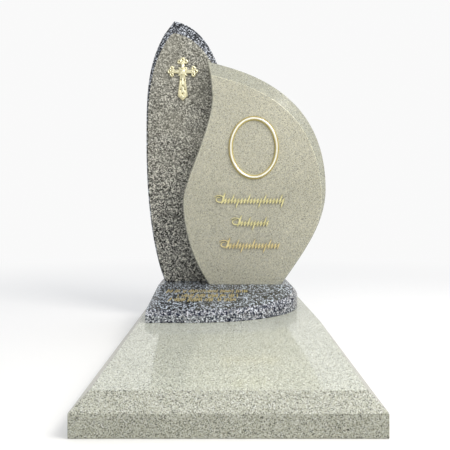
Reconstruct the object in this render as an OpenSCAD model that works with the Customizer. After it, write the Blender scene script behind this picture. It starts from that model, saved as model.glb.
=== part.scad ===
// Two-tone granite memorial: a pointed dark slab and a drop-shaped light slab
// stand on a sloping plinth, and the plinth on a bevelled ledger.
// Millimetres. X runs across, Y from the foot of the ledger to its head, Z up.
// The origin is the centre of the ledger's underside.

/* [Ledger] */
// Width of the ledger, side to side
ledger_w = 600; // [560:10:800]
// Length of the ledger, foot to head
ledger_l = 1200; // [1200:10:1600]
// Thickness of the ledger
ledger_t = 80; // [60:5:120]
// Height and width of the 45 degree bevel on its foot and left side
ledger_bevel = 33; // [10:1:45]
// Width that the bevel on its right side narrows to
ledger_arris = 3; // [2:1:10]
// Length over which that bevel narrows, from the foot
taper_l = 700; // [400:10:1000]

/* [Plinth] */
// Width of the plinth
plinth_w = 510; // [460:5:560]
// How far its middle lies to the right of the ledger's middle
plinth_shift = 10; // [0:1:20]
// Depth of the plinth
plinth_d = 540; // [500:5:600]
// Bare strip of ledger behind the plinth
head_gap = 5; // [0:1:20]
// Height of the level seat that both slabs stand on
seat_h = 68; // [55:1:90]
// Height of the upright front face, below its bevel
lip_h = 22; // [15:1:35]
// Height and width of the bevel along the front
plinth_bevel = 15; // [5:1:20]
// How far the rounded front corner reaches across
sweep_w = 365; // [200:5:400]
// How far the rounded front corner reaches back
sweep_d = 320; // [200:5:330]
// How far the level seat runs out in front of the light slab
seat_lead = 10; // [5:1:30]
// Strip of the seat left bare behind the dark slab
seat_tail = 9; // [0:1:20]

/* [Slabs] */
// Thickness of each slab
slab_t = 80; // [60:5:90]
// Width of the small bevel that softens every front edge
arris = 4.5; // [2:0.5:6]
// Depth of a wide bevel as a share of its width
bevel_fall = 0.5; // [0.3:0.05:0.8]
// Widest bevel of the light slab, at its peak
light_bevel = 54; // [20:1:60]
// Widest bevel of the dark slab's left edge, at its tip
dark_bevel_left = 31; // [10:1:35]
// Widest bevel of the dark slab's right edge, at its tip
dark_bevel_right = 57; // [15:1:60]

/* [Gilt fittings] */
// Centre of the oval frame, to the right of the ledger's middle
oval_x = 111.5; // [90:0.5:130]
// Centre of the oval frame above the seat
oval_height = 512; // [480:1:540]
// Width of the oval frame
oval_w = 188; // [120:1:200]
// Height of the oval frame
oval_h = 236; // [160:1:260]
// Width of the band that makes the oval frame
oval_band = 15; // [8:1:20]
// How far the oval frame stands proud
oval_t = 10; // [4:1:14]
// Crossing of the cross, to the right of the ledger's middle
cross_x = -160; // [-180:1:-140]
// Crossing of the cross above the seat
cross_height = 817; // [780:1:840]
// Reach of each side arm of the cross
cross_arm = 59; // [45:1:65]
// Reach of the cross above its crossing
cross_top = 55; // [45:1:65]
// Reach of the cross below its crossing
cross_foot = 113; // [90:1:125]
// How far the cross stands proud
cross_t = 8; // [3:1:12]
// Middle of the name lines, to the right of the ledger's middle
name_x = 95; // [80:1:110]
// Middle of the upper name line above the seat
name_height = 312; // [290:1:330]
// How far the name lines stand proud
name_t = 5; // [2:1:8]
// Height of an ordinary stroke in a name line
stroke_h = 23; // [18:1:30]
// Distance between strokes in a name line
stroke_pitch = 12; // [9:0.5:14]
// Distance from one name line to the next
line_pitch = 84; // [70:1:95]

/* [Hidden] */

$fn = 48;
pale_granite = "#bdbcaa";
dark_granite = "#777a80";
gilt = "#e6cf8c";

seat_z = ledger_t + seat_h;
back_y = ledger_l / 2 - head_gap;
dark_face_y = back_y - seat_tail - slab_t;
light_face_y = dark_face_y - slab_t;
seat_y = light_face_y - seat_lead;
plinth_left = plinth_shift - plinth_w / 2;
plinth_right = plinth_shift + plinth_w / 2;
plinth_front = back_y - plinth_d;

// Points of a cubic curve from p[0] to p[3], without its start.
// The last step can span more than one, to leave room for a wide bevel there.
function curve(p, steps, spare = 0) = [
    for (i = [1 : steps])
        let (t = i < steps ? i / (steps + spare) : 1, s = 1 - t)
        s * s * s * p[0] + 3 * s * s * t * p[1] + 3 * s * t * t * p[2] + t * t * t * p[3]
];

// Outlines are [x, height above the seat]; both sides run from the foot to the peak.
light_foot = [[-57, 0], [216, 0]];
light_belly = [-154, 316];
light_neck = [-44, 707];
light_flank = [384, 362];
light_peak = [-61, 843];
light_left = concat(
    [light_foot[0]],
    curve([light_foot[0], light_foot[0] + [-61, 89], light_belly + [0, -115], light_belly], 14),
    curve([light_belly, light_belly + [0, 62], light_neck + [0, -113], light_neck], 24),
    curve([light_neck, light_neck + [0, 40], light_peak + [2, -40], light_peak], 2, 1));
light_right = concat(
    [light_foot[1]],
    curve([light_foot[1], light_foot[1] + [86, 123], light_flank + [0, -130], light_flank], 14),
    curve([light_flank, light_flank + [0, 388], light_peak + [107, -29], light_peak], 26, 1));

dark_foot = [[-229, 0], [15, 0]];
dark_left_bulge = [-302, 532];
dark_right_bulge = [60, 492];
dark_shoulder = [-28, 856];
dark_tip = [-195, 1026];
dark_left = concat(
    [dark_foot[0]],
    curve([dark_foot[0], dark_foot[0] + [-56, 137],
           dark_left_bulge + [0, -172], dark_left_bulge], 18),
    curve([dark_left_bulge, dark_left_bulge + [0, 195], dark_tip + [-113, -150], dark_tip], 22, 2));
dark_right = concat(
    [dark_foot[1]],
    curve([dark_foot[1], dark_foot[1] + [30, 130],
           dark_right_bulge + [0, -170], dark_right_bulge], 14),
    curve([dark_right_bulge, dark_right_bulge + [0, 130],
           dark_shoulder + [46, -117], dark_shoulder], 16),
    curve([dark_shoulder, dark_shoulder + [-29, 74], dark_tip + [92, -20], dark_tip], 10));

// Bevel width at each point of a side: the arris below height low, growing to full at the peak.
// A higher power keeps it narrow for longer.
function bevel_widths(side, low, full, power) = [
    for (p = side)
        arris + (full - arris) * pow(max(0, (p[1] - low) / (side[len(side) - 1][1] - low)), power)
];

function unit(v) = v / norm(v);

// Where the line from p along u meets the line from q along v.
function meet(p, u, q, v) = p + u * cross(q - p, v) / cross(u, v);

// A side moved inwards by its bevel widths, without the peak. hand is 1 on the left, -1 on the right.
function inset(side, widths, hand) = [
    for (i = [0 : len(side) - 2])
        let (d = unit(side[i + 1] - side[max(i - 1, 0)]), n = hand * [d[1], -d[0]])
        i == 0 ? side[0] + [widths[0] / n[0], 0] : side[i] + widths[i] * n
];

// The inner corner, where the bevels of the two sides meet below the peak.
function inner_peak(left, right, left_widths, right_widths) =
    let (n = len(left) - 1, u = unit(left[n] - left[n - 1]), v = unit(right[n] - right[n - 1]))
    meet(left[n] + left_widths[n] * [u[1], -u[0]], u,
         right[n] + right_widths[n] * [-v[1], v[0]], v);

// One closed ring: up the left side, over the peak and down the right side.
function ring(left, peak, right) =
    concat(left, [peak], [for (i = [len(right) - 1 : -1 : 0]) right[i]]);

// Triangles between two rings of n points that start at indices a and b.
function band(a, b, n) = [
    for (k = [0 : n - 1], half = [0, 1])
        let (j = (k + 1) % n)
        half == 0 ? [a + k, a + j, b + j] : [a + k, b + j, b + k]
];

// Rungs across a ring of n points that starts at index a, from its foot to its peak.
function ladder(a, n) = [
    for (i = [0 : (n - 3) / 2], half = [0, 1])
        if (half == 0 || i < (n - 3) / 2)
            half == 0 ? [a + i, a + i + 1, a + n - 1 - i] : [a + i + 1, a + n - 2 - i, a + n - 1 - i]
];

function flipped(faces) = [for (f = faces) [f[2], f[1], f[0]]];

function heads(list) = [for (i = [0 : len(list) - 2]) list[i]];

// A standing slab with its front at face_y. Its wide bevels twist, and are deeper where wider.
module standing_slab(left, right, left_widths, right_widths, face_y) {
    outer = ring(heads(left), left[len(left) - 1], heads(right));
    widths = ring(heads(left_widths), max(left_widths[len(left) - 1], right_widths[len(right) - 1]),
                  heads(right_widths));
    inner = ring(inset(left, left_widths, 1), inner_peak(left, right, left_widths, right_widths),
                 inset(right, right_widths, -1));
    n = len(outer);
    points = concat(
        [for (p = inner) [p[0], face_y, seat_z + p[1]]],
        [for (i = [0 : n - 1])
            [outer[i][0], face_y + arris + bevel_fall * (widths[i] - arris), seat_z + outer[i][1]]],
        [for (p = outer) [p[0], face_y + slab_t, seat_z + p[1]]]);
    polyhedron(points, concat(ladder(0, n), band(n, 0, n), band(2 * n, n, n),
                              flipped(ladder(2 * n, n))));
}

// The right bevel narrows from the foot, so both of its edges are straight lines with a bend.
module ledger() {
    half_w = ledger_w / 2;
    foot = -ledger_l / 2;
    head = ledger_l / 2;
    bend = foot + taper_l;
    corner = ledger_bevel - (ledger_bevel - ledger_arris) * ledger_bevel / taper_l;
    points = [
        [-half_w, foot, 0], [half_w, foot, 0], [half_w, head, 0], [-half_w, head, 0],
        [-half_w, foot, ledger_t - ledger_bevel], [half_w, foot, ledger_t - ledger_bevel],
        [half_w, bend, ledger_t - ledger_arris], [half_w, head, ledger_t - ledger_arris],
        [-half_w, head, ledger_t - ledger_bevel],
        [ledger_bevel - half_w, foot + ledger_bevel, ledger_t],
        [half_w - corner, foot + ledger_bevel, ledger_t],
        [half_w - ledger_arris, bend, ledger_t], [half_w - ledger_arris, head, ledger_t],
        [ledger_bevel - half_w, head, ledger_t]];
    color(pale_granite)
    hull() polyhedron(points, [[for (i = [0 : len(points) - 1]) i]]);
}

// Front and right edge of the plinth, drawn in by a margin: straight, then swept back round a
// quarter of an ellipse, then straight along the side.
function plinth_edge(margin) = concat(
    [[plinth_left, plinth_front + margin]],
    [for (a = [-90 : 5 : 0])
        [plinth_right - sweep_w + (sweep_w - margin) * cos(a),
         plinth_front + sweep_d + (sweep_d - margin) * sin(a)]],
    [[plinth_right - margin, seat_y], [plinth_right - margin, back_y]]);

// Height of the plinth's top above the ledger: a slope at the front, level under the slabs.
function plinth_top(y) =
    seat_h - (seat_h - lip_h - plinth_bevel)
             * max(0, (seat_y - y) / (seat_y - plinth_front - plinth_bevel));

module plinth() {
    outer = plinth_edge(0);
    inner = plinth_edge(plinth_bevel);
    points = concat(
        [for (p = outer) [p[0], p[1], 0]],
        [for (i = [0 : len(outer) - 1])
            [outer[i][0], outer[i][1], plinth_top(inner[i][1]) - plinth_bevel]],
        [for (p = inner) [p[0], p[1], plinth_top(p[1])]],
        [[plinth_left, seat_y, seat_h], [plinth_left, back_y, seat_h], [plinth_left, back_y, 0]]);
    color(dark_granite)
    translate([0, 0, ledger_t])
        hull() polyhedron(points, [[for (i = [0 : len(points) - 1]) i]]);
}

module dark_slab() {
    color(dark_granite)
    standing_slab(dark_left, dark_right,
                  bevel_widths(dark_left, dark_left_bulge[1], dark_bevel_left, 2.2),
                  bevel_widths(dark_right, dark_right_bulge[1], dark_bevel_right, 3.3),
                  dark_face_y);
}

module light_slab() {
    bevel_start = 222;
    color(pale_granite)
    standing_slab(light_left, light_right,
                  [for (p = light_left) arris],
                  bevel_widths(light_right, bevel_start, light_bevel, 0.8),
                  light_face_y);
}

// Stands a flat shape upright, its back on a slab's face and its origin at [x, height].
module on_face(x, height, face_y, proud) {
    translate([x, face_y, seat_z + height])
        rotate([90, 0, 0])
            linear_extrude(proud) children();
}

// One end of an arm, pointing up from the crossing: a neck that ends in three buds.
module budded_arm(reach) {
    bud = 8.5;
    spread = 12.5;
    neck = reach - 26;
    polygon([[-8, 0], [-6.5, neck], [-spread - 2.5, reach - 14], [0, reach - 6],
             [spread + 2.5, reach - 14], [6.5, neck], [8, 0]]);
    translate([0, reach - bud]) circle(bud);
    for (side = [-1, 1])
        translate([side * spread, reach - 2 * bud]) circle(bud);
}

module gilt_cross() {
    color(gilt)
    on_face(cross_x, cross_height, dark_face_y, cross_t)
    offset(r = 1, $fn = 16) offset(delta = -1) {
        budded_arm(cross_top);
        for (turn = [-90, 90])
            rotate(turn) budded_arm(cross_arm);
        circle(15);
        for (turn = [45 : 90 : 315])
            rotate(turn) polygon([[9, -7], [24, -1], [24, 1], [9, 7]]);
        // The shaft widens down to a shoulder, then comes to a point.
        polygon([[-9, 0], [-11, -30], [-19.5, 18 - cross_foot], [0, -cross_foot],
                 [19.5, 18 - cross_foot], [11, -30], [9, 0]]);
    }
}

// Section of the oval frame: [distance in from the outer edge, height off the face].
oval_section = [[0, 0], [0, 0.5], [0.12, 0.6], [0.22, 0.9], [0.45, 1], [0.75, 0.95], [0.93, 0.7],
                [1, 0.3], [1, 0]];

module oval_frame() {
    steps = 72;
    sides = len(oval_section);
    points = [
        for (a = [0 : 360 / steps : 359.9], s = oval_section)
            let (n = unit([oval_h * cos(a), oval_w * sin(a)]),
                 p = [oval_w / 2 * cos(a), oval_h / 2 * sin(a)] - s[0] * oval_band * n)
            [oval_x + p[0], light_face_y - s[1] * oval_t, seat_z + oval_height + p[1]]
    ];
    faces = [
        for (i = [0 : steps - 1], k = [0 : sides - 1], half = [0, 1])
            let (a = i * sides, b = (i + 1) % steps * sides, l = (k + 1) % sides)
            half == 0 ? [a + k, a + l, b + l] : [a + k, b + l, b + k]
    ];
    color(gilt)
    polyhedron(points, faces);
}

// Sideways lean of a stroke for each unit of its height
slant = 0.36;

// A pointed stroke from p to q, widest in its middle.
module pointed_stroke(p, q, width) {
    d = unit(q - p);
    across = width / 2 * [d[1], -d[0]];
    polygon([p, p + 0.3 * (q - p) + across, p + 0.7 * (q - p) + across, q,
             p + 0.7 * (q - p) - across, p + 0.3 * (q - p) - across]);
}

// A tapered curl that leads into a line, wound inwards round its own centre.
module curl(wide, high) {
    sweep = 440;
    turns = [for (a = [0 : 20 : sweep]) a];
    last = len(turns) - 1;
    spine = [for (a = turns)
        let (r = 1 - 0.55 * a / sweep) r * [-wide * cos(a + 30), high * sin(a + 30)]];
    half = [for (i = [0 : last]) 0.5 + 1.1 * sin(180 * i / last)];
    side = [for (i = [0 : last])
        let (d = unit(spine[min(i + 1, last)] - spine[max(i - 1, 0)])) half[i] * [d[1], -d[0]]];
    polygon(concat([for (i = [0 : last]) spine[i] + side[i]],
                   [for (i = [last : -1 : 0]) spine[i] - side[i]]));
}

// A line of plain slanted strokes joined by hairlines, centred on the origin. It starts with a
// curl and a tall stroke; then every fifth stroke rises above the rest and every seventh drops.
module stroke_line(count) {
    head = [for (i = [0 : count - 1]) (i == 0 ? 1.9 : i % 5 == 3 ? 1.6 : 1) * stroke_h];
    foot = [for (i = [0 : count - 1]) i % 7 == 5 ? -0.6 * stroke_h : 0];
    body = 3.9;
    hairline = 1.2;
    curl_w = 21;
    start = -stroke_pitch * (count - 1) / 2 + 0.6 * curl_w;
    translate(-stroke_h / 2 * [slant, 1])
    offset(delta = 0.4, chamfer = true) {
        for (i = [0 : count - 1]) {
            x = start + i * stroke_pitch;
            pointed_stroke(head[i] * [slant, 1] + [x, 0], foot[i] * [slant, 1] + [x, 0],
                           i == 0 ? 1.4 * body : body);
            if (i < count - 1)
                pointed_stroke(0.06 * stroke_h * [slant, 1] + [x, 0],
                               0.94 * stroke_h * [slant, 1] + [x + stroke_pitch, 0], hairline);
        }
        translate([start - 0.3 * curl_w, 0.8 * stroke_h]) curl(curl_w, 0.75 * curl_w);
    }
}

module name_line(row, count, shift) {
    color(gilt)
    on_face(name_x + shift, name_height - row * line_pitch, light_face_y, name_t)
        stroke_line(count);
}

module name_line_upper() name_line(0, 20, 0);
module name_line_middle() name_line(1, 10, 1);
module name_line_lower() name_line(2, 17, 0);

ledger();
plinth();
dark_slab();
light_slab();
gilt_cross();
oval_frame();
name_line_upper();
name_line_middle();
name_line_lower();
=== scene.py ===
import math
import bpy
import bmesh
from mathutils import Matrix, Vector


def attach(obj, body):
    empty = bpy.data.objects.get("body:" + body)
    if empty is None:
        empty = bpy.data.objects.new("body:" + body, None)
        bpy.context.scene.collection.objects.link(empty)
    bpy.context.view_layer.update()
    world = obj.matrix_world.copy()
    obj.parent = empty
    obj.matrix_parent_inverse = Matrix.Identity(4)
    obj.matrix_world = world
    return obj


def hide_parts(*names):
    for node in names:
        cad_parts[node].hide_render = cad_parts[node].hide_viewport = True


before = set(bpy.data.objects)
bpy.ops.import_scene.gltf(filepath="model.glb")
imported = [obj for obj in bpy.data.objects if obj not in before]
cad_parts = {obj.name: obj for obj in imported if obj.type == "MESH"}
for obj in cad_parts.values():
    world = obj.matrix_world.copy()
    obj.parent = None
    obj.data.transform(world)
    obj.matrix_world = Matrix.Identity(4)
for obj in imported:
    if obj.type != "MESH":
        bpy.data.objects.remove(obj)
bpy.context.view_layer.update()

scene = bpy.context.scene
print("stage 1: frame loaded,", len(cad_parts), "nodes")

# camera: level, straight at the front of the slabs
cameraSettings = {
    "place": (-0.0167, -1.61, 0.425),
    "lens": 43.44,
    "sensor": 36.0,
    "shift": (0.0122, -0.0322),
    "clip": (0.05, 100),
}


def makeCamera(s):
    data = bpy.data.cameras.new("camera")
    data.lens = s["lens"]
    data.sensor_width = s["sensor"]
    data.shift_x, data.shift_y = s["shift"]
    data.clip_start, data.clip_end = s["clip"]
    camera = bpy.data.objects.new("camera", data)
    camera.location = s["place"]
    camera.rotation_euler = (math.radians(90), 0, 0)
    scene.collection.objects.link(camera)
    scene.camera = camera


makeCamera(cameraSettings)


# node helpers: an input is given as a value, or as the socket that feeds it
def addNode(tree, kind, inputs=None, **props):
    node = tree.nodes.new(kind)
    for key, value in props.items():
        setattr(node, key, value)
    for key, value in (inputs or {}).items():
        if isinstance(value, bpy.types.NodeSocket):
            tree.links.new(value, node.inputs[key])
        else:
            node.inputs[key].default_value = value
    return node


def maths(tree, operation, a, b=0.0, c=0.0):
    return addNode(tree, "ShaderNodeMath", {0: a, 1: b, 2: c}, operation=operation).outputs[0]


def vectorMaths(tree, operation, a, b):
    return addNode(tree, "ShaderNodeVectorMath", {0: a, 1: b}, operation=operation).outputs[0]


def scaled(tree, vector, factor):
    return addNode(tree, "ShaderNodeVectorMath", {0: vector, "Scale": factor}, operation="SCALE").outputs[0]


def blendColours(tree, factor, a, b):
    return addNode(tree, "ShaderNodeMix", {0: factor, 6: a, 7: b}, data_type="RGBA").outputs[2]


def ranged(tree, value, low, high, toLow, toHigh):
    return addNode(tree, "ShaderNodeMapRange", {0: value, 1: low, 2: high, 3: toLow, 4: toHigh}).outputs[0]


def newGroup(name, inputs, outputs):
    group = bpy.data.node_groups.new(name, "ShaderNodeTree")
    for label, kind, value in inputs:
        socket = group.interface.new_socket(label, in_out="INPUT", socket_type="NodeSocket" + kind)
        if value is not None:
            socket.default_value = value
    for label, kind in outputs:
        group.interface.new_socket(label, in_out="OUTPUT", socket_type="NodeSocket" + kind)
    return group, group.nodes.new("NodeGroupInput").outputs, group.nodes.new("NodeGroupOutput").inputs


def useGroup(tree, group, inputs):
    return addNode(tree, "ShaderNodeGroup", inputs, node_tree=group).outputs


# the crystals of a granite: cells with ragged borders, each of one mineral
def graniteGrainGroup():
    group, given, out = newGroup("graniteGrain", [
        ("Position", "Vector", None), ("Grain", "Float", 0.003),
        ("Feldspar", "Color", (0.5, 0.5, 0.42, 1)), ("Pale Feldspar", "Color", (0.6, 0.6, 0.5, 1)),
        ("Quartz", "Color", (0.7, 0.7, 0.65, 1)), ("Quartz Share", "Float", 0.15),
        ("Mica", "Color", (0.05, 0.05, 0.05, 1)), ("Mica Share", "Float", 0.1),
        ("Raggedness", "Float", 0.8), ("Fine Grain", "Float", 0.15)],
        [("Color", "Color"), ("Mica", "Float")])
    density = maths(group, "DIVIDE", 1.0, given["Grain"])
    # noise about as coarse as the cells pushes their borders in and out
    wanderScale = maths(group, "MULTIPLY", density, 0.9)
    wander = addNode(group, "ShaderNodeTexNoise",
                     {"Vector": given["Position"], "Scale": wanderScale, "Detail": 2.0})
    reach = maths(group, "MULTIPLY", given["Grain"], maths(group, "MULTIPLY", given["Raggedness"], 3.0))
    centred = vectorMaths(group, "SUBTRACT", wander.outputs["Color"], (0.5, 0.5, 0.5))
    place = vectorMaths(group, "ADD", given["Position"], scaled(group, centred, reach))
    cells = addNode(group, "ShaderNodeTexVoronoi", {"Vector": place, "Scale": density})
    split = addNode(group, "ShaderNodeSeparateColor", {0: cells.outputs["Color"]}).outputs
    colour = blendColours(group, split["Green"], given["Feldspar"], given["Pale Feldspar"])
    quartz = maths(group, "GREATER_THAN", split["Red"], maths(group, "SUBTRACT", 1.0, given["Quartz Share"]))
    colour = blendColours(group, quartz, colour, given["Quartz"])
    mica = maths(group, "LESS_THAN", split["Red"], given["Mica Share"])
    colour = blendColours(group, mica, colour, given["Mica"])
    # smaller crystals inside and between the big ones
    fineScale = maths(group, "MULTIPLY", density, 2.3)
    fine = addNode(group, "ShaderNodeTexVoronoi", {"Vector": place, "Scale": fineScale})
    fineTone = addNode(group, "ShaderNodeSeparateColor", {0: fine.outputs["Color"]}).outputs["Blue"]
    spread = maths(group, "MULTIPLY_ADD", maths(group, "SUBTRACT", fineTone, 0.5),
                   maths(group, "MULTIPLY", given["Fine Grain"], 2.0), 1.0)
    # slow drift of tone through the block
    drift = addNode(group, "ShaderNodeTexNoise",
                    {"Vector": given["Position"], "Scale": 7.0, "Detail": 3.0})
    slow = ranged(group, drift.outputs["Fac"], 0.3, 0.7, 0.95, 1.05)
    shaded = scaled(group, colour, maths(group, "MULTIPLY", spread, slow))
    group.links.new(shaded, out["Color"])
    group.links.new(mica, out["Mica"])
    return group


# the sawn faces of a block, told apart by their direction: its top, its front, everything but its front,
# the bevels along its front, the rounded arris where a shallow bevel meets the front, and what faces
# its sides; they mark where light, shade and reflections are painted into the stone's colour
def cutFacesGroup():
    faces = ("Top", "Front", "Rest", "Bevel", "Arris", "Side")
    group, given, out = newGroup("cutFaces", [("Normal", "Vector", None)],
                                 [(face, "Float") for face in faces])
    way = addNode(group, "ShaderNodeSeparateXYZ", {0: given["Normal"]}).outputs
    forward = maths(group, "MULTIPLY", way[1], -1.0)
    sideways = maths(group, "ABSOLUTE", way[0])
    front = ranged(group, forward, 0.92, 0.97, 0.0, 1.0)
    arris = maths(group, "MULTIPLY", ranged(group, forward, 0.90, 0.93, 0.0, 1.0),
                  ranged(group, forward, 0.975, 0.995, 1.0, 0.0))
    rest = maths(group, "SUBTRACT", 1.0, front)
    bevel = maths(group, "MULTIPLY", ranged(group, forward, 0.3, 0.45, 0.0, 1.0), rest)
    group.links.new(ranged(group, way[2], 0.85, 0.95, 0.0, 1.0), out["Top"])
    group.links.new(front, out["Front"])
    group.links.new(rest, out["Rest"])
    group.links.new(bevel, out["Bevel"])
    group.links.new(arris, out["Arris"])
    group.links.new(ranged(group, sideways, 0.5, 0.65, 0.0, 1.0), out["Side"])
    return group


# how a stone takes its polish: mica stays duller than the rest, and the wheel leaves faint clouds
def stonePolishGroup():
    group, given, out = newGroup("stonePolish", [
        ("Position", "Vector", None), ("Mica", "Float", 0.0), ("Polish", "Float", 0.1),
        ("Mica Dullness", "Float", 0.15)], [("Roughness", "Float"), ("Height", "Float")])
    sheenMottle = addNode(group, "ShaderNodeTexNoise",
                    {"Vector": given["Position"], "Scale": 11.0, "Detail": 4.0})
    uneven = ranged(group, sheenMottle.outputs["Fac"], 0.3, 0.7, 0.75, 1.3)
    rough = maths(group, "MULTIPLY", given["Polish"], uneven)
    rough = maths(group, "MULTIPLY_ADD", given["Mica"], given["Mica Dullness"], rough)
    group.links.new(rough, out["Roughness"])
    group.links.new(maths(group, "SUBTRACT", 1.0, given["Mica"]), out["Height"])
    return group


# gilding: pale where the front is burnished, deeper in duller patches, and deeper on the flanks and in
# hollows, partly its own tone and partly painted shade
def gildingToneGroup():
    group, given, out = newGroup("gildingTone", [
        ("Position", "Vector", None), ("Normal", "Vector", None),
        ("Burnished", "Color", (0.95, 0.8, 0.45, 1)), ("Deep", "Color", (0.7, 0.45, 0.12, 1)),
        ("Patch Size", "Float", 0.02), ("Patch Share", "Float", 0.5),
        ("Hollow", "Float", 0.0), ("Shine", "Float", 0.2)],
        [("Color", "Color"), ("Roughness", "Float"), ("Height", "Float")])
    density = maths(group, "DIVIDE", 1.0, given["Patch Size"])
    patch = addNode(group, "ShaderNodeTexNoise",
                    {"Vector": given["Position"], "Scale": density, "Detail": 3.0})
    dulled = ranged(group, patch.outputs["Fac"], 0.35, 0.68, 0.0, 1.0)
    patches = maths(group, "MULTIPLY", given["Patch Share"], dulled)
    # painted shade: faces turned away from the front, the flanks, take the deep tone
    facing = addNode(group, "ShaderNodeSeparateXYZ", {0: given["Normal"]}).outputs[1]
    flank = ranged(group, facing, -0.9, -0.35, 0.0, 1.0)
    mask = maths(group, "MAXIMUM", maths(group, "MAXIMUM", patches, flank), given["Hollow"])
    group.links.new(blendColours(group, mask, given["Burnished"], given["Deep"]), out["Color"])
    rough = maths(group, "MULTIPLY", given["Shine"], ranged(group, mask, 0, 1, 0.8, 1.6))
    group.links.new(rough, out["Roughness"])
    fineScale = maths(group, "MULTIPLY", density, 12.0)
    fine = addNode(group, "ShaderNodeTexNoise",
                   {"Vector": given["Position"], "Scale": fineScale, "Detail": 2.0})
    group.links.new(fine.outputs["Fac"], out["Height"])
    return group


graniteGrain = graniteGrainGroup()
cutFaces = cutFacesGroup()
stonePolish = stonePolishGroup()
gildingTone = gildingToneGroup()

paleGranite = {
    "Grain": 0.0018,
    "Feldspar": (0.47, 0.455, 0.36, 1),
    "Pale Feldspar": (0.60, 0.585, 0.46, 1),
    "Quartz": (0.50, 0.50, 0.45, 1),
    "Quartz Share": 0.22,
    "Mica": (0.15, 0.15, 0.13, 1),
    "Mica Share": 0.17,
    "Raggedness": 0.45,
    "Fine Grain": 0.12,
}
darkGranite = {
    "Grain": 0.0036,
    "Feldspar": (0.11, 0.115, 0.12, 1),
    "Pale Feldspar": (0.30, 0.30, 0.29, 1),
    "Quartz": (0.52, 0.52, 0.50, 1),
    "Quartz Share": 0.24,
    "Mica": (0.025, 0.026, 0.03, 1),
    "Mica Share": 0.30,
    "Raggedness": 0.6,
    "Fine Grain": 0.25,
}


# each block is cut from its own part of the quarry: start moves the pattern and flow stretches it. the tones
# given per kind of face are painted light and shade, as a multiplier of the stone's own colour; contrast
# deepens its dark crystals; the mottle is a painted reflection on the front face, soft and pale, fading out
# towards the foot, given as its share, its colour, and the heights where it starts and where it is full
def graniteMaterial(name, s):
    material = bpy.data.materials.new(name)
    material.use_nodes = True
    tree = material.node_tree
    shader = tree.nodes["Principled BSDF"]
    place = addNode(tree, "ShaderNodeTexCoord").outputs
    moved = vectorMaths(tree, "ADD", vectorMaths(tree, "MULTIPLY", place["Object"], s["flow"]), s["start"])
    grain = useGroup(tree, graniteGrain, {"Position": moved, **s["grain"], **s["change"]})
    faces = useGroup(tree, cutFaces, {"Normal": place["Normal"]})
    colour = grain["Color"]
    # painted reflection: a soft pale mottle on the front face, full high up and fading out towards the foot
    if "sheenMottle" in s:
        share, sheenColour, low, high = s["sheenMottle"]
        mottle = addNode(tree, "ShaderNodeTexNoise", {"Vector": moved, "Scale": 9.0, "Detail": 3.0})
        uneven = ranged(tree, mottle.outputs["Fac"], 0.35, 0.65, 0.4 * share, 1.4 * share)
        height = addNode(tree, "ShaderNodeSeparateXYZ", {0: place["Object"]}).outputs[2]
        paintedSheen = maths(tree, "MULTIPLY", uneven, ranged(tree, height, low, high, 0.0, 1.0))
        onFront = maths(tree, "MULTIPLY", paintedSheen, faces["Front"])
        colour = blendColours(tree, onFront, colour, sheenColour)
    for face, gamma in s.get("contrast", {}).items():
        bend = ranged(tree, faces[face], 0.0, 1.0, 1.0, gamma)
        colour = addNode(tree, "ShaderNodeGamma", {"Color": colour, "Gamma": bend}).outputs[0]
    # painted light and shade: each kind of face made lighter or darker, and tinted, as light falls on it
    for face, paintedTone in s["paintedTones"].items():
        facePaintedTone = blendColours(tree, faces[face], (1, 1, 1, 1), paintedTone)
        colour = vectorMaths(tree, "MULTIPLY", colour, facePaintedTone)
    finish = useGroup(tree, stonePolish, {
        "Position": moved, "Mica": grain["Mica"],
        "Polish": s["polish"], "Mica Dullness": s["micaDullness"]})
    bump = addNode(tree, "ShaderNodeBump",
                   {"Height": finish["Height"], "Strength": 0.06, "Distance": 0.0004})
    tree.links.new(colour, shader.inputs["Base Color"])
    tree.links.new(finish["Roughness"], shader.inputs["Roughness"])
    tree.links.new(bump.outputs[0], shader.inputs["Normal"])
    shader.inputs["IOR"].default_value = 1.52
    shader.inputs["Specular IOR Level"].default_value = s["gloss"]
    return material


# hollow gives the y of a crest, where the gilding is rubbed bright, and of a hollow, where it stays deep;
# the deep tone there is partly its own and partly painted shade
def giltMaterial(name, s):
    material = bpy.data.materials.new(name)
    material.use_nodes = True
    tree = material.node_tree
    shader = tree.nodes["Principled BSDF"]
    place = addNode(tree, "ShaderNodeTexCoord").outputs
    given = {"Position": place["Object"], "Normal": place["Normal"],
             "Burnished": s["burnished"], "Deep": s["deep"],
             "Patch Size": s["patchSize"], "Patch Share": s["patchShare"], "Shine": s["shine"]}
    if "hollow" in s:
        back = addNode(tree, "ShaderNodeSeparateXYZ", {0: place["Object"]}).outputs[1]
        given["Hollow"] = ranged(tree, back, *s["hollow"], 0.0, 1.0)
    tone = useGroup(tree, gildingTone, given)
    bump = addNode(tree, "ShaderNodeBump",
                   {"Height": tone["Height"], "Strength": 0.2, "Distance": s["bumpDepth"]})
    tree.links.new(tone["Color"], shader.inputs["Base Color"])
    tree.links.new(tone["Roughness"], shader.inputs["Roughness"])
    tree.links.new(bump.outputs[0], shader.inputs["Normal"])
    shader.inputs["Metallic"].default_value = s["metal"]
    return material


print("stage 2: shader groups made")


# mesh helpers
# a node's loose triangles as one closed mesh with its flat faces whole
def mergedNode(nodeName):
    bm = bmesh.new()
    bm.from_mesh(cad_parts[nodeName].data)
    bmesh.ops.remove_doubles(bm, verts=bm.verts, dist=0.00001)
    bmesh.ops.dissolve_limit(bm, angle_limit=math.radians(0.3), verts=bm.verts, edges=bm.edges)
    bmesh.ops.recalc_face_normals(bm, faces=bm.faces)
    return bm


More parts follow.
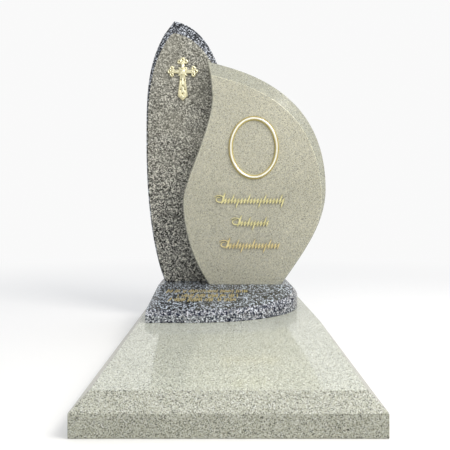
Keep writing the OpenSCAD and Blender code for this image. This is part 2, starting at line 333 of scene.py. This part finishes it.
def pieceFromBmesh(name, bm, material):
    mesh = bpy.data.meshes.new(name)
    bm.to_mesh(mesh)
    bm.free()
    piece = bpy.data.objects.new(name, mesh)
    scene.collection.objects.link(piece)
    mesh.materials.append(material)
    return piece


# the modifiers' result as a plain mesh, on the same object
def bakedModifiers(piece):
    graph = bpy.context.evaluated_depsgraph_get()
    mesh = bpy.data.meshes.new_from_object(
        piece.evaluated_get(graph), preserve_all_data_layers=True, depsgraph=graph)
    piece.modifiers.clear()
    piece.data = mesh
    mesh.name = piece.name
    return piece


def shadeByAngle(mesh, degrees):
    mesh.polygons.foreach_set("use_smooth", [True] * len(mesh.polygons))
    mesh.set_sharp_from_angle(angle=math.radians(degrees))


# rounds a piece's sharp edges, and shades it smooth everywhere else
def softenEdges(piece, width, edgeAngle, smoothAngle):
    shadeByAngle(piece.data, smoothAngle)
    bevel = piece.modifiers.new("arris", "BEVEL")
    bevel.width = width
    bevel.segments = 2
    bevel.limit_method = "ANGLE"
    bevel.angle_limit = math.radians(edgeAngle)
    bevel.harden_normals = True
    bevel.use_clamp_overlap = True
    return bakedModifiers(piece)


def handIn(piece, slotName, *nodes):
    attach(piece, "root")
    if nodes:
        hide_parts(*nodes)


# the four stones
stones = {
    "ledger": {
        "slot": "pale_granite", "grain": paleGranite, "start": (0, 0, 0), "flow": (1, 1, 1),
        "change": {"Grain": 0.0011, "Mica": (0.02, 0.02, 0.018, 1), "Mica Share": 0.19,
                   "Quartz": (0.84, 0.83, 0.75, 1), "Quartz Share": 0.25, "Fine Grain": 0.25},
        "polish": 0.05, "micaDullness": 0.06, "gloss": 0.42, "arris": 0.0015,
        # painted light and shade: a brighter, bluer top lit from the sky, a darker front, bevels and sides
        "paintedTones": {"Top": (1.15, 1.21, 1.25, 1), "Front": (0.84, 0.88, 0.91, 1),
                  "Bevel": (0.93, 0.97, 1.01, 1), "Side": (0.68, 0.69, 0.69, 1)}},
    "plinth": {
        "slot": "dark_granite", "grain": darkGranite, "start": (3, 1, 0), "flow": (1, 0.55, 1),
        "change": {"Grain": 0.0034, "Mica": (0.014, 0.016, 0.03, 1), "Feldspar": (0.10, 0.115, 0.14, 1),
                   "Quartz": (0.62, 0.63, 0.64, 1), "Mica Share": 0.34},
        "contrast": {"Top": 2.3}, "polish": 0.12, "micaDullness": 0.1, "gloss": 0.15, "arris": 0.0015,
        # painted light: a top made brighter and bluer as if lit from the sky, a brighter front and bevels
        "paintedTones": {"Top": (1.95, 2.1, 2.3, 1), "Front": (1.28, 1.32, 1.40, 1),
                  "Bevel": (1.1, 1.12, 1.2, 1)}},
    "dark_slab": {
        "slot": "dark_granite", "grain": darkGranite, "start": (0, 5, 2), "flow": (1, 1, 1),
        "change": {"Mica": (0.012, 0.013, 0.014, 1), "Mica Share": 0.33, "Quartz": (0.60, 0.60, 0.58, 1)},
        # painted reflection: a pale mottle on the front, fading out towards the foot
        "sheenMottle": (0.32, (0.28, 0.275, 0.24, 1), 0.32, 0.80),
        "contrast": {"Rest": 2.0}, "polish": 0.12, "micaDullness": 0.1, "gloss": 0.3, "arris": 0.0018,
        # painted reflection: a bluish sky reflection on every face but the front, the front a little
        # brighter
        "paintedTones": {"Front": (1.13, 1.12, 1.05, 1), "Rest": (1.55, 1.66, 2.0, 1)}},
    "light_slab": {
        "slot": "pale_granite", "grain": paleGranite, "start": (7, 0, 3), "flow": (1, 1, 1),
        "change": {"Feldspar": (0.40, 0.39, 0.315, 1), "Pale Feldspar": (0.66, 0.645, 0.51, 1),
                   "Mica": (0.25, 0.25, 0.22, 1), "Fine Grain": 0.34},
        "polish": 0.12, "micaDullness": 0.1, "gloss": 0.5, "arris": 0.0036,
        # painted shade on every face but the front, and a painted highlight along the arris
        "paintedTones": {"Front": (0.96, 0.96, 0.95, 1), "Rest": (0.85, 0.87, 0.88, 1),
                  "Arris": (2.3, 2.3, 2.15, 1)}},
}
for nodeName, s in stones.items():
    material = graniteMaterial(nodeName + "_polished", s)
    stone = pieceFromBmesh(nodeName + "_stone", mergedNode(nodeName), material)
    softenEdges(stone, s["arris"], edgeAngle=18, smoothAngle=18)
    handIn(stone, s["slot"], nodeName)
print("stage 3: stones cut and polished")


# the name lines keep their CAD outline and get rounded edges; the lower one is redder, a painted warm
# reflection
nameGilt = {
    "burnished": (1.0, 0.94, 0.50, 1),
    "deep": (0.20, 0.15, 0.04, 1),
    "patchSize": 0.02,
    "patchShare": 0.35,
    "hollow": (0.4213, 0.4225),
    "shine": 0.34,
    "metal": 0.7,
    "bumpDepth": 0.0002,
}
nameRounding = 0.0008
nameLines = {
    "name_line_upper": nameGilt,
    "name_line_middle": nameGilt,
    # painted warm reflection: the lower line's gilding is redder
    "name_line_lower": {**nameGilt, "burnished": (1.0, 0.87, 0.45, 1), "deep": (0.24, 0.12, 0.03, 1)},
}
for nodeName, s in nameLines.items():
    material = giltMaterial(nodeName + "_gilding", s)
    line = pieceFromBmesh(nodeName + "_gilt", mergedNode(nodeName), material)
    softenEdges(line, nameRounding, edgeAngle=40, smoothAngle=25)
    handIn(line, "gilding", nodeName)
print("stage 4: name lines rounded")


# the oval frame: a moulded section swept round the oval
ovalFrame = {
    "centre": (0.1115, 0.426, 0.660),     # on the light slab's face
    "halfSize": (0.094, 0.118, 1),
    "steps": 160,
    # millimetres in from the outer edge, and proud of the face: a bead, a hollow, the broad band, and a
    # thin inner bead
    "section": [(0, 0), (0, 5.0), (0.5, 5.8), (1.2, 6.0), (1.9, 5.7), (2.3, 5.1),
                (2.9, 5.6), (3.3, 7.6), (4.2, 9.0), (5.6, 9.8), (7.4, 10.0), (9.2, 9.8),
                (10.8, 9.1), (11.8, 7.9), (12.2, 6.6),
                (12.8, 6.4), (13.5, 6.5), (14.3, 6.0), (14.9, 4.9), (15, 3.6), (15, 0)],
    # the broad band's near-white gilding is partly painted highlight, and the deep tone on its beads and
    # hollow partly painted shade
    "gilding": {"burnished": (1.0, 0.99, 0.88, 1), "deep": (0.60, 0.50, 0.16, 1),
                "patchSize": 0.08, "patchShare": 0.0, "hollow": (0.4176, 0.4190),
                "shine": 0.30, "metal": 0.6, "bumpDepth": 0.00002},
}


def sweptOvalTree(section, material):
    tree = bpy.data.node_groups.new("sweptOval", "GeometryNodeTree")
    tree.interface.new_socket("Geometry", in_out="OUTPUT", socket_type="NodeSocketGeometry")
    for label, kind in (("Steps", "Int"), ("Half Size", "Vector")):
        tree.interface.new_socket(label, in_out="INPUT", socket_type="NodeSocket" + kind)
    given = tree.nodes.new("NodeGroupInput").outputs
    circle = addNode(tree, "GeometryNodeCurvePrimitiveCircle",
                     {"Resolution": given["Steps"], "Radius": 1.0})
    oval = addNode(tree, "GeometryNodeTransform", {0: circle.outputs[0], "Scale": given["Half Size"]})
    level = addNode(tree, "GeometryNodeSetCurveNormal", {0: oval.outputs[0]}, mode="Z_UP")
    outline = addNode(tree, "GeometryNodeObjectInfo", {"Object": section})
    band = addNode(tree, "GeometryNodeCurveToMesh",
                   {"Curve": level.outputs[0], "Profile Curve": outline.outputs["Geometry"]})
    real = addNode(tree, "GeometryNodeRealizeInstances", {0: band.outputs[0]})
    painted = addNode(tree, "GeometryNodeSetMaterial", {"Geometry": real.outputs[0], "Material": material})
    tree.links.new(painted.outputs[0], tree.nodes.new("NodeGroupOutput").inputs[0])
    return tree


# runs a Geometry Nodes tree on a piece, with its inputs looked up by their labels
def runTree(piece, tree, values):
    modifier = piece.modifiers.new(tree.name, "NODES")
    modifier.node_group = tree
    sockets = {item.name: item.identifier for item in tree.interface.items_tree if item.in_out == "INPUT"}
    for label, value in values.items():
        modifier[sockets[label]] = value
    return bakedModifiers(piece)


def makeOvalFrame(s):
    material = giltMaterial("oval_frame_gilding", s["gilding"])
    curve = bpy.data.curves.new("section", "CURVE")
    spline = curve.splines.new("POLY")
    spline.points.add(len(s["section"]) - 1)
    for point, (inward, proud) in zip(spline.points, s["section"]):
        point.co = (-inward / 1000, -proud / 1000, 0, 1)
    spline.use_cyclic_u = True
    section = bpy.data.objects.new("section", curve)
    scene.collection.objects.link(section)
    band = bpy.data.objects.new("swept", bpy.data.meshes.new("swept"))
    scene.collection.objects.link(band)
    runTree(band, sweptOvalTree(section, material),
            {"Steps": s["steps"], "Half Size": s["halfSize"]})
    bm = bmesh.new()
    bm.from_mesh(band.data)
    upright = Matrix.Translation(s["centre"]) @ Matrix.Rotation(math.radians(90), 4, "X")
    bmesh.ops.transform(bm, matrix=upright, verts=bm.verts)
    bmesh.ops.recalc_face_normals(bm, faces=bm.faces)
    frameBand = pieceFromBmesh("oval_frame_gilt", bm, material)
    bpy.data.objects.remove(band)
    bpy.data.objects.remove(section)
    shadeByAngle(frameBand.data, 50)
    handIn(frameBand, "gilding", "oval_frame")


makeOvalFrame(ovalFrame)


# the cross: its plate, with cast relief on the front
crossRelief = {
    "crossing": (-0.160, 0.498, 0.965),     # front face of the plate, at the crossing
    "boss": (0.0115, 0.0030),               # radius and rise of the round boss at the crossing
    "bossTop": (0.5, 1.5),                  # the dome on it, as shares of its radius and rise
    "reach": (0.055, 0.059, 0.113),         # top, sides and foot
    "budRadius": 0.0066,
    "budRim": 0.0014,
    "budSpread": 0.0125,
    "budInset": (0.0085, 0.017),            # from an arm's end to its outer bud and to its side buds
    "knot": {"inset": 0.003, "radius": 0.0042, "rise": 0.0024},     # between an arm's three buds
    "spine": {"start": 0.013, "inset": 0.025, "widths": (0.0064, 0.0052), "rise": 0.0018},
    # every third ray is a diagonal one; each kind has its reach and its width at the start
    "rays": {"count": 12, "start": 0.008, "diagonal": (0.021, 0.0080), "other": (0.01575, 0.0045),
             "tipWidth": 0.0030, "rise": 0.0026},
    # beads border the shaft from its top to its shoulder, and then its point
    "beads": {"radius": 0.0013, "top": (0.0086, 0.026), "widening": 0.0082, "shoulderInset": 0.020,
              "alongShaft": 19, "shoulderHalf": 0.0166, "pointDrop": 0.0155, "alongPoint": 5},
    # every ridge: its foot's depth in the plate, its shoulders' share of its rise, and the share of its
    # width that each end slopes over
    "ridge": {"sink": 0.001, "shoulder": 0.3, "hip": 0.3},
    # from, to, width at each and rise
    "panels": [(-0.024, -0.051, 0.0060, 0.0085, 0.0018), (-0.061, -0.080, 0.0080, 0.0125, 0.0018)],
    "drop": (0, -0.098, 0.0058, 0.0026),    # x, height, radius and rise
    "pits": [(0, -0.056), (0, -0.086), (-0.005, -0.033), (0.005, -0.033),
             (-0.0085, -0.070), (0.0085, -0.070)],
    "pitRadius": 0.0032,
    "pitSink": 0.0005,
    "rounding": 0.0010,
    "gilding": {"burnished": (1.0, 0.97, 0.72, 1), "deep": (0.42, 0.36, 0.15, 1),
                "patchSize": 0.012, "patchShare": 0.25, "hollow": (0.4970, 0.4996),
                "shine": 0.34, "metal": 0.7, "bumpDepth": 0.0003},
}


# a place on the plate's front face, from the crossing
def crossMatrix(x, z, y=0.0):
    cx, cy, cz = crossRelief["crossing"]
    return Matrix.Translation((cx + x, cy + y, cz + z))


def addDome(bm, x, z, radius, rise):
    place = crossMatrix(x, z) @ Matrix.Diagonal((radius, rise, radius, 1))
    bmesh.ops.create_uvsphere(bm, u_segments=20, v_segments=12, radius=1, matrix=place)


# a raised ring, round in section, lying on the plate
def addRing(bm, x, z, radius, thick):
    place = crossMatrix(x, z)
    around, section = 24, 8
    verts = []
    for i in range(around):
        a = 2 * math.pi * i / around
        for k in range(section):
            b = 2 * math.pi * k / section
            r = radius + thick * math.cos(b)
            point = Vector((r * math.cos(a), thick * math.sin(b), r * math.sin(a)))
            verts.append(bm.verts.new(place @ point))
    for i in range(around):
        for k in range(section):
            j, m = (i + 1) % around, (k + 1) % section
            corners = (i * section + k, i * section + m, j * section + m, j * section + k)
            bm.faces.new([verts[q] for q in corners])


# a low ridge with a sharp crest from a to b, wideA wide at a and wideB at b
def addRidge(bm, a, b, wideA, wideB, rise):
    ridge = crossRelief["ridge"]
    a, b = Vector(a), Vector(b)
    along = (b - a).normalized()
    across = Vector((along.y, -along.x))
    flat = [a + across * wideA / 2, b + across * wideB / 2, b - across * wideB / 2, a - across * wideA / 2]
    place = crossMatrix(0, 0)
    foot = [bm.verts.new(place @ Vector((p.x, ridge["sink"], p.y))) for p in flat]
    shoulder = [bm.verts.new(place @ Vector((p.x, -rise * ridge["shoulder"], p.y))) for p in flat]
    ends = (a + along * wideA * ridge["hip"], b - along * wideB * ridge["hip"])
    crest = [bm.verts.new(place @ Vector((p.x, -rise, p.y))) for p in ends]
    for i in range(4):
        j = (i + 1) % 4
        bm.faces.new((foot[i], foot[j], shoulder[j], shoulder[i]))
    bm.faces.new((shoulder[0], shoulder[1], crest[1], crest[0]))
    bm.faces.new((shoulder[1], shoulder[2], crest[1]))
    bm.faces.new((shoulder[2], shoulder[3], crest[0], crest[1]))
    bm.faces.new((shoulder[3], shoulder[0], crest[0]))
    bm.faces.new(foot[::-1])


# the top and side arms, each as a turn from the top one and a length
def shortArms(s):
    top, side, _ = s["reach"]
    arms = ((0, top), (90, side), (-90, side))
    return [(Matrix.Rotation(math.radians(turn), 2), reach) for turn, reach in arms]


def budPlaces(s):
    outer, inner = s["budInset"]
    spread = s["budSpread"]
    places = []
    for rotation, reach in shortArms(s):
        for bud in ((0, reach - outer), (spread, reach - inner), (-spread, reach - inner)):
            places.append(rotation @ Vector(bud))
    return places


def addRays(bm, s):
    for i in range(s["count"]):
        a = 2 * math.pi * (i + 0.5) / s["count"]
        way = Vector((math.cos(a), math.sin(a)))
        reach, width = s["diagonal"] if i % 3 == 1 else s["other"]
        addRidge(bm, way * s["start"], way * reach, width, s["tipWidth"], s["rise"])


def addBeads(bm, s, foot):
    half, top = s["top"]
    shoulder = foot - s["shoulderInset"]
    for i in range(s["alongShaft"]):
        t = i / (s["alongShaft"] - 1)
        for hand in (-1, 1):
            addDome(bm, hand * (half + t * s["widening"]), -top - t * (shoulder - top),
                    s["radius"], s["radius"])
    for i in range(s["alongPoint"]):
        t = (i + 1) / (s["alongPoint"] + 1)
        for hand in (-1, 1):
            addDome(bm, hand * s["shoulderHalf"] * (1 - t), -shoulder - t * s["pointDrop"],
                    s["radius"], s["radius"])


def crossReliefMesh(s):
    bm = bmesh.new()
    (radius, rise), (topRadius, topRise) = s["boss"], s["bossTop"]
    addDome(bm, 0, 0, radius, rise)
    addDome(bm, 0, 0, radius * topRadius, rise * topRise)
    addRays(bm, s["rays"])
    # three open ringed buds on each of the short ends, with a knot between them
    for bud in budPlaces(s):
        addRing(bm, bud.x, bud.y, s["budRadius"] - s["budRim"], s["budRim"])
    knotShape, spine = s["knot"], s["spine"]
    for rotation, reach in shortArms(s):
        knot = rotation @ Vector((0, reach - s["budInset"][1] - knotShape["inset"]))
        addDome(bm, knot.x, knot.y, knotShape["radius"], knotShape["rise"])
        addRidge(bm, rotation @ Vector((0, spine["start"])),
                 rotation @ Vector((0, reach - spine["inset"])), *spine["widths"], spine["rise"])
    # the shaft carries a border of beads, two panels and a drop at its foot
    addBeads(bm, s["beads"], s["reach"][2])
    for start, end, startWidth, endWidth, panelRise in s["panels"]:
        addRidge(bm, (0, start), (0, end), startWidth, endWidth, panelRise)
    addDome(bm, *s["drop"])
    bmesh.ops.recalc_face_normals(bm, faces=bm.faces)
    return bm


def makeCross(s):
    material = giltMaterial("gilt_cross_gilding", s["gilding"])
    cross = pieceFromBmesh("gilt_cross_gilt", mergedNode("gilt_cross"), material)
    pits = bmesh.new()
    for x, z in s["pits"] + [tuple(bud) for bud in budPlaces(s)]:
        bmesh.ops.create_icosphere(pits, subdivisions=2, radius=s["pitRadius"],
                                   matrix=crossMatrix(x, z, -s["pitSink"]))
    cutter = pieceFromBmesh("pits", pits, material)
    cut = cross.modifiers.new("pits", "BOOLEAN")
    cut.operation = "DIFFERENCE"
    cut.solver = "EXACT"
    cut.object = cutter
    bakedModifiers(cross)
    bpy.data.objects.remove(cutter)
    softenEdges(cross, s["rounding"], edgeAngle=45, smoothAngle=30)
    relief = bpy.data.meshes.new("relief")
    shapes = crossReliefMesh(s)
    shapes.to_mesh(relief)
    shapes.free()
    joined = bmesh.new()
    joined.from_mesh(cross.data)
    joined.from_mesh(relief)
    joined.to_mesh(cross.data)
    joined.free()
    shadeByAngle(cross.data, 35)
    handIn(cross, "gilding", "gilt_cross")


makeCross(crossRelief)
print("stage 5: oval frame and cross finished")


# the epitaph: three rows of small gilded strokes on the plinth's slope
epitaph = {
    "slopeBack": (0.416, 0.148),     # y and z where the level seat begins
    "slopeFront": (0.070, 0.117),    # y and z at the front bevel
    # x from, x to, and y
    "rows": [(-0.201, 0.086, 0.316), (-0.159, 0.054, 0.252), (-0.182, 0.045, 0.199)],
    "pitch": 0.0070,
    "strokeHeight": 0.048,
    "strokeWidth": 0.0048,
    "lean": 0.03,                    # of its height, to each side
    "bow": 0.6,                      # how far its middle leans, as a share of that
    "swell": (0.6, 0.4),             # share of the width at a stroke's ends, and what its middle adds
    "scales": ((0.7, 0.55, 0.40), (1.4, 1.15, 0.45)),    # smallest and largest stroke
    "turns": ((0, 0, -0.10), (0, 0, 0.08)),
    "gapShare": 0.18,
    "seed": 4,
    "turnSeed": 7,                   # added to the seed, so that turns and sizes are drawn apart
    "gilding": {"burnished": (1.0, 0.92, 0.55, 1), "deep": (0.42, 0.34, 0.14, 1),
                "patchSize": 0.009, "patchShare": 0.7,
                "shine": 0.4, "metal": 0.25, "bumpDepth": 0.0002},
}


def strokeRowTree(material, s):
    tree = bpy.data.node_groups.new("strokeRow", "GeometryNodeTree")
    face = tree.interface
    face.new_socket("Geometry", in_out="OUTPUT", socket_type="NodeSocketGeometry")
    for label, kind in (("Count", "Int"), ("Pitch", "Float"), ("Height", "Float"), ("Width", "Float"),
                        ("Gap Share", "Float"), ("Seed", "Int")):
        face.new_socket(label, in_out="INPUT", socket_type="NodeSocket" + kind)
    given = tree.nodes.new("NodeGroupInput").outputs
    step = addNode(tree, "ShaderNodeCombineXYZ", {0: given["Pitch"]})
    line = addNode(tree, "GeometryNodeMeshLine",
                   {"Count": given["Count"], "Offset": step.outputs[0]}, mode="OFFSET")
    # one upright stroke, a little thicker in its middle
    half = maths(tree, "MULTIPLY", given["Height"], 0.5)
    lean = maths(tree, "MULTIPLY", given["Height"], s["lean"])
    foot = addNode(tree, "ShaderNodeCombineXYZ",
                   {0: maths(tree, "MULTIPLY", lean, -1.0), 1: maths(tree, "MULTIPLY", half, -1.0)})
    head = addNode(tree, "ShaderNodeCombineXYZ", {0: lean, 1: half})
    bow = addNode(tree, "ShaderNodeCombineXYZ", {0: maths(tree, "MULTIPLY", lean, s["bow"])})
    spine = addNode(tree, "GeometryNodeCurveQuadraticBezier",
                    {"Resolution": 6, "Start": foot.outputs[0], "Middle": bow.outputs[0],
                     "End": head.outputs[0]})
    along = addNode(tree, "GeometryNodeSplineParameter").outputs["Factor"]
    arch = maths(tree, "SINE", maths(tree, "MULTIPLY", along, math.pi))
    endShare, added = s["swell"]
    swell = maths(tree, "MULTIPLY_ADD", arch, added, endShare)
    section = addNode(tree, "GeometryNodeCurvePrimitiveCircle",
                      {"Resolution": 8, "Radius": maths(tree, "MULTIPLY", given["Width"], 0.5)})
    body = addNode(tree, "GeometryNodeCurveToMesh",
                   {"Curve": spine.outputs[0], "Profile Curve": section.outputs[0],
                    "Scale": swell, "Fill Caps": True})
    kept = addNode(tree, "FunctionNodeRandomValue", data_type="BOOLEAN")
    tree.links.new(maths(tree, "SUBTRACT", 1.0, given["Gap Share"]), kept.inputs["Probability"])
    tree.links.new(given["Seed"], kept.inputs["Seed"])
    size = addNode(tree, "FunctionNodeRandomValue", {0: s["scales"][0], 1: s["scales"][1]},
                   data_type="FLOAT_VECTOR")
    tree.links.new(given["Seed"], size.inputs["Seed"])
    turn = addNode(tree, "FunctionNodeRandomValue", {0: s["turns"][0], 1: s["turns"][1]},
                   data_type="FLOAT_VECTOR")
    tree.links.new(maths(tree, "ADD", given["Seed"], s["turnSeed"]), turn.inputs["Seed"])
    placed = addNode(tree, "GeometryNodeInstanceOnPoints", {
        "Points": line.outputs[0], "Selection": kept.outputs[3], "Instance": body.outputs[0],
        "Rotation": turn.outputs[0], "Scale": size.outputs[0]})
    real = addNode(tree, "GeometryNodeRealizeInstances", {0: placed.outputs[0]})
    painted = addNode(tree, "GeometryNodeSetMaterial", {"Geometry": real.outputs[0], "Material": material})
    tree.links.new(painted.outputs[0], tree.nodes.new("NodeGroupOutput").inputs[0])
    return tree


def makeEpitaph(s):
    material = giltMaterial("epitaph_gilding", s["gilding"])
    tree = strokeRowTree(material, s)
    (backY, backZ), (frontY, frontZ) = s["slopeBack"], s["slopeFront"]
    slope = math.atan2(backZ - frontZ, backY - frontY)
    joined = bmesh.new()
    for i, (left, right, y) in enumerate(s["rows"]):
        row = bpy.data.objects.new("strokes", bpy.data.meshes.new("strokes"))
        scene.collection.objects.link(row)
        runTree(row, tree, {"Count": int((right - left) / s["pitch"]), "Pitch": s["pitch"],
                            "Height": s["strokeHeight"], "Width": s["strokeWidth"],
                            "Gap Share": s["gapShare"], "Seed": s["seed"] + i})
        z = frontZ + (y - frontY) * math.tan(slope)
        row.data.transform(Matrix.Translation((left, y, z)) @ Matrix.Rotation(slope, 4, "X"))
        joined.from_mesh(row.data)
        bpy.data.objects.remove(row)
    piece = pieceFromBmesh("epitaph_strokes", joined, material)
    shadeByAngle(piece.data, 50)
    handIn(piece, "gilding")


makeEpitaph(epitaph)
print("stage 6: epitaph strokes laid")


# studio: a pale floor that fades into a white surround, a soft key from the upper right, a warm card in
# front whose reflection veils the upper part of the slabs, and a sky that is dimmer on the left and in front
studio = {
    "floorTone": (0.88, 0.88, 0.88, 1),
    "floorBounce": (0.58, 0.57, 0.54, 1),
    "floorGlow": (0.16, 0.16, 0.16, 1),
    "floorRadius": 90,
    "floorDrop": 0.0005,             # just below the underside, so that the two don't coincide
    "floorFade": (1.0, 3.4),         # where the fade starts and ends, from the middle
    "surround": 0.95,
    "skyLow": (1.0, 0.99, 0.96, 1),
    "skyHigh": (0.97, 0.99, 1.03, 1),
    "skyAcross": (0.56, 1.06),       # strength on the left and on the right
    "skyAlong": (0.50, 1.05),        # in front and behind
    "skyRise": (0.85, 1.25),         # at the horizon and overhead
    "key": {"place": (1.5, -1.1, 2.3), "aim": (0.0, 0.4, 0.8), "size": (1.2, 1.2), "power": 42,
            "colour": (1.0, 0.965, 0.90)},
    "card": {"place": (0.1, -2.4, 1.6), "aim": (0.0, 0.5, 0.9), "size": (2.0, 1.7), "power": 11,
             "colour": (1.0, 0.95, 0.82)},
}


def makeLamp(name, s):
    data = bpy.data.lights.new(name, "AREA")
    data.shape = "RECTANGLE"
    data.size, data.size_y = s["size"]
    data.energy = s["power"]
    data.color = s["colour"]
    lamp = bpy.data.objects.new(name, data)
    lamp.location = s["place"]
    lamp.rotation_euler = (Vector(s["aim"]) - Vector(s["place"])).to_track_quat("-Z", "Y").to_euler()
    scene.collection.objects.link(lamp)


# the sky seen directly is plain white; the one that lights the stones varies round them
def makeSky(s):
    world = bpy.data.worlds.new("studio")
    world.use_nodes = True
    tree = world.node_tree
    lit = tree.nodes["Background"]
    direction = addNode(tree, "ShaderNodeTexCoord").outputs["Generated"]
    way = addNode(tree, "ShaderNodeSeparateXYZ", {0: direction}).outputs
    tone = blendColours(tree, ranged(tree, way[2], 0.0, 0.8, 0.0, 1.0), s["skyLow"], s["skyHigh"])
    tree.links.new(tone, lit.inputs["Color"])
    strength = maths(tree, "MULTIPLY", ranged(tree, way[0], -1.0, 1.0, *s["skyAcross"]),
                     ranged(tree, way[1], -1.0, 1.0, *s["skyAlong"]))
    strength = maths(tree, "MULTIPLY", strength, ranged(tree, way[2], 0.0, 1.0, *s["skyRise"]))
    tree.links.new(strength, lit.inputs["Strength"])
    plain = addNode(tree, "ShaderNodeBackground",
                    {"Color": (1, 1, 1, 1), "Strength": s["surround"]})
    seen = addNode(tree, "ShaderNodeLightPath").outputs["Is Camera Ray"]
    both = addNode(tree, "ShaderNodeMixShader", {0: seen, 1: lit.outputs[0], 2: plain.outputs[0]})
    tree.links.new(both.outputs[0], tree.nodes["World Output"].inputs["Surface"])
    scene.world = world


# matt, and seen by the camera in a paler tone than the one that it throws back at the stones
def makeFloor(s):
    bm = bmesh.new()
    bmesh.ops.create_circle(bm, cap_ends=True, segments=96, radius=s["floorRadius"])
    material = bpy.data.materials.new("pale_floor")
    material.use_nodes = True
    tree = material.node_tree
    shader = tree.nodes["Principled BSDF"]
    shader.inputs["Roughness"].default_value = 0.8
    shader.inputs["Specular IOR Level"].default_value = 0.0
    shader.inputs["Emission Strength"].default_value = 1.0
    place = addNode(tree, "ShaderNodeTexCoord").outputs["Object"]
    away = addNode(tree, "ShaderNodeVectorMath", {0: place}, operation="LENGTH").outputs["Value"]
    far = addNode(tree, "ShaderNodeMapRange", {0: away, 1: s["floorFade"][0], 2: s["floorFade"][1]},
                  interpolation_type="SMOOTHSTEP").outputs[0]
    white = (s["surround"], s["surround"], s["surround"], 1)
    seen = addNode(tree, "ShaderNodeLightPath").outputs["Is Camera Ray"]
    near = blendColours(tree, seen, s["floorBounce"], s["floorTone"])
    tree.links.new(blendColours(tree, far, near, (0, 0, 0, 1)), shader.inputs["Base Color"])
    tree.links.new(blendColours(tree, far, s["floorGlow"], white), shader.inputs["Emission Color"])
    floor = pieceFromBmesh("floor", bm, material)
    floor.data.transform(Matrix.Translation((0, 0, -s["floorDrop"])))


makeLamp("key", studio["key"])
makeLamp("card", studio["card"])
makeSky(studio)
makeFloor(studio)
scene.view_settings.view_transform = "Standard"
print("stage 7: studio lit")
